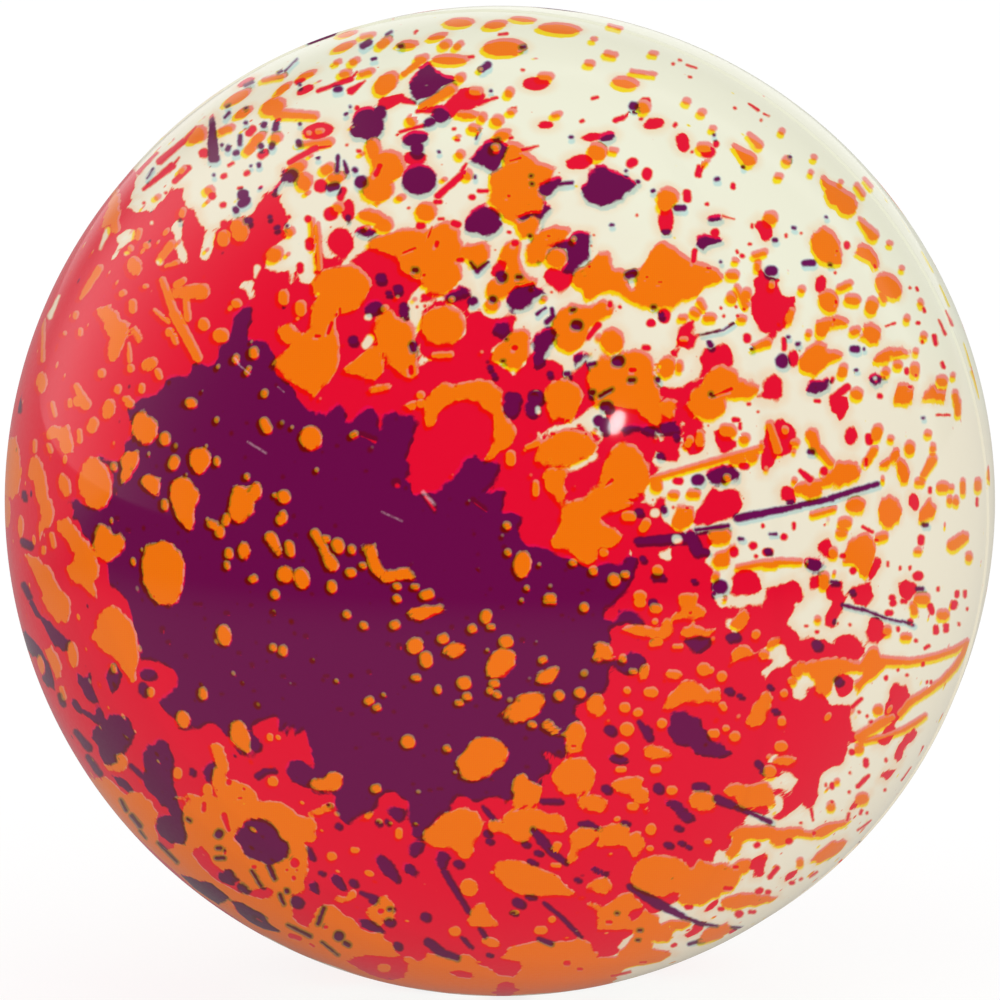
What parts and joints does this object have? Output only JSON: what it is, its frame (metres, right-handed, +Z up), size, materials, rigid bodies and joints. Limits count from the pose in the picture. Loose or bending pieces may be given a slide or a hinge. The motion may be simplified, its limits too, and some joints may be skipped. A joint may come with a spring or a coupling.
{
  "type": "bouncy ball",
  "caption": "Hollow gas-filled bouncy ball with a clear glossy skin over a paint-splatter print, a rubber core and a flush needle valve.",
  "frame": {"origin": "centre of the ball", "axes": "+Z up, +Y along the mould axis towards the rear pole with the valve; the halves meet in the XZ plane"},
  "size_m": [0.1006, 0.1, 0.1006],
  "materials": {
    "clear_skin": "clear and glossy, with a faint moulded unevenness",
    "bead": "glossy, milky clear",
    "printed_film": "cream film with a halftone splatter print in orange, crimson and purple",
    "core_rubber": "matte, talc dusted",
    "valve_gum": "soft satin gum"
  },
  "bodies": {
    "root": {"front_skin": "clear_skin", "rear_skin": "clear_skin", "seam_bead": "bead", "front_print_film": "printed_film", "rear_print_film": "printed_film", "front_core": "core_rubber", "rear_core": "core_rubber", "valve_plug": "valve_gum"}
  },
  "joints": []
}
